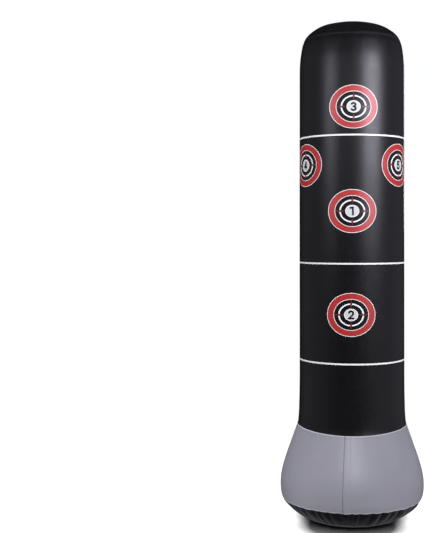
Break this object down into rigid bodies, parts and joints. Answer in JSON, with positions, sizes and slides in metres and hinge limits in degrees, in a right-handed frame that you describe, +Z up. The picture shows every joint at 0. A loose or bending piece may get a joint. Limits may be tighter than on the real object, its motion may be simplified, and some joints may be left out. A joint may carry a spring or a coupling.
{
  "type": "free standing punching tower",
  "caption": "Inflatable punching tower: black film column with numbered oval targets on a flared grey water-filled base, with push-in air and water valves.",
  "frame": {"origin": "centre of the flat foot, on the floor", "axes": "+Z up along the column, -Y towards the front with the numbered targets, +Y towards the valves, +X to the right seen from the front"},
  "size_m": [0.4644, 0.4644, 1.6],
  "materials": {
    "black_film": "satin gloss vinyl film",
    "silver_film": "satin silver-grey vinyl film",
    "inner_film": "plain vinyl film",
    "water": "clear, wet",
    "white_ink": "printed, satin",
    "red_ink": "printed, satin",
    "grey_ink": "printed, satin",
    "black_ink": "printed, satin",
    "valve_vinyl": "soft moulded vinyl",
    "plug_plastic": "moulded, satin"
  },
  "bodies": {
    "root": {"base_skirt": "silver_film", "bottom_disc": "black_film", "chamber_partition": "inner_film", "water_ballast": "water", "neck_film_lower": "black_film", "water_valve_flange": "valve_vinyl", "water_valve_boot": "valve_vinyl"},
    "neck": {"neck_film_upper": "black_film"},
    "column": {"column_wall": "black_film", "top_cap": "black_film", "white_stripes": "white_ink", "target_white_lines": "white_ink", "target_red_rings": "red_ink", "target_white_arcs": "white_ink", "target_red_ticks": "red_ink", "target_number_discs": "grey_ink", "target_numerals": "black_ink", "air_valve_flange": "valve_vinyl", "air_valve_boot": "valve_vinyl"},
    "air_valve_stem": {"air_valve_stem": "valve_vinyl", "air_valve_tether": "valve_vinyl"},
    "air_valve_plug": {"air_valve_plug": "plug_plastic"},
    "air_valve_flap": {"air_valve_flap": "valve_vinyl"},
    "water_valve_stem": {"water_valve_stem": "valve_vinyl", "water_valve_tether": "valve_vinyl"},
    "water_valve_plug": {"water_valve_plug": "plug_plastic"},
    "water_valve_flap": {"water_valve_flap": "valve_vinyl"}
  },
  "joints": [
    {"name": "sway_pitch", "type": "hinge", "parent": "root", "child": "neck", "pos_m": [0, 0, 0.35], "axis": [1, 0, 0], "range_deg": [-20, 20], "stiffness_Nm_per_rad": 90, "deforming": ["neck_film_lower"]},
    {"name": "sway_roll", "type": "hinge", "parent": "neck", "child": "column", "pos_m": [0, 0, 0.458], "axis": [0, 1, 0], "range_deg": [-20, 20], "stiffness_Nm_per_rad": 90, "deforming": ["neck_film_upper"]},
    {"name": "air_stem_pull_out", "type": "slide", "parent": "column", "child": "air_valve_stem", "axis": [0, 1, 0], "range_m": [0, 0.02], "deforming": ["air_valve_boot"]},
    {"name": "air_plug_pull_out", "type": "slide", "parent": "air_valve_stem", "child": "air_valve_plug", "axis": [0, 1, 0], "range_m": [0, 0.014], "deforming": ["air_valve_tether"]},
    {"name": "air_flap_open", "type": "hinge", "parent": "air_valve_stem", "child": "air_valve_flap", "pos_m": [0, 0.148, 0.647], "axis": [-1, 0, 0], "range_deg": [0, 60], "stiffness_Nm_per_rad": 0.002, "springref_deg": -17.19},
    {"name": "water_stem_pull_out", "type": "slide", "parent": "root", "child": "water_valve_stem", "axis": [0, 0.9361, 0.3518], "range_m": [0, 0.0246], "deforming": ["water_valve_boot"]},
    {"name": "water_plug_pull_out", "type": "slide", "parent": "water_valve_stem", "child": "water_valve_plug", "axis": [0, 0.9361, 0.3518], "range_m": [0, 0.0164], "deforming": ["water_valve_tether"]},
    {"name": "water_flap_open", "type": "hinge", "parent": "water_valve_stem", "child": "water_valve_flap", "pos_m": [0, 0.17142, 0.23845], "axis": [-1, 0, 0], "range_deg": [0, 60], "stiffness_Nm_per_rad": 0.002, "springref_deg": -17.19}
  ]
}
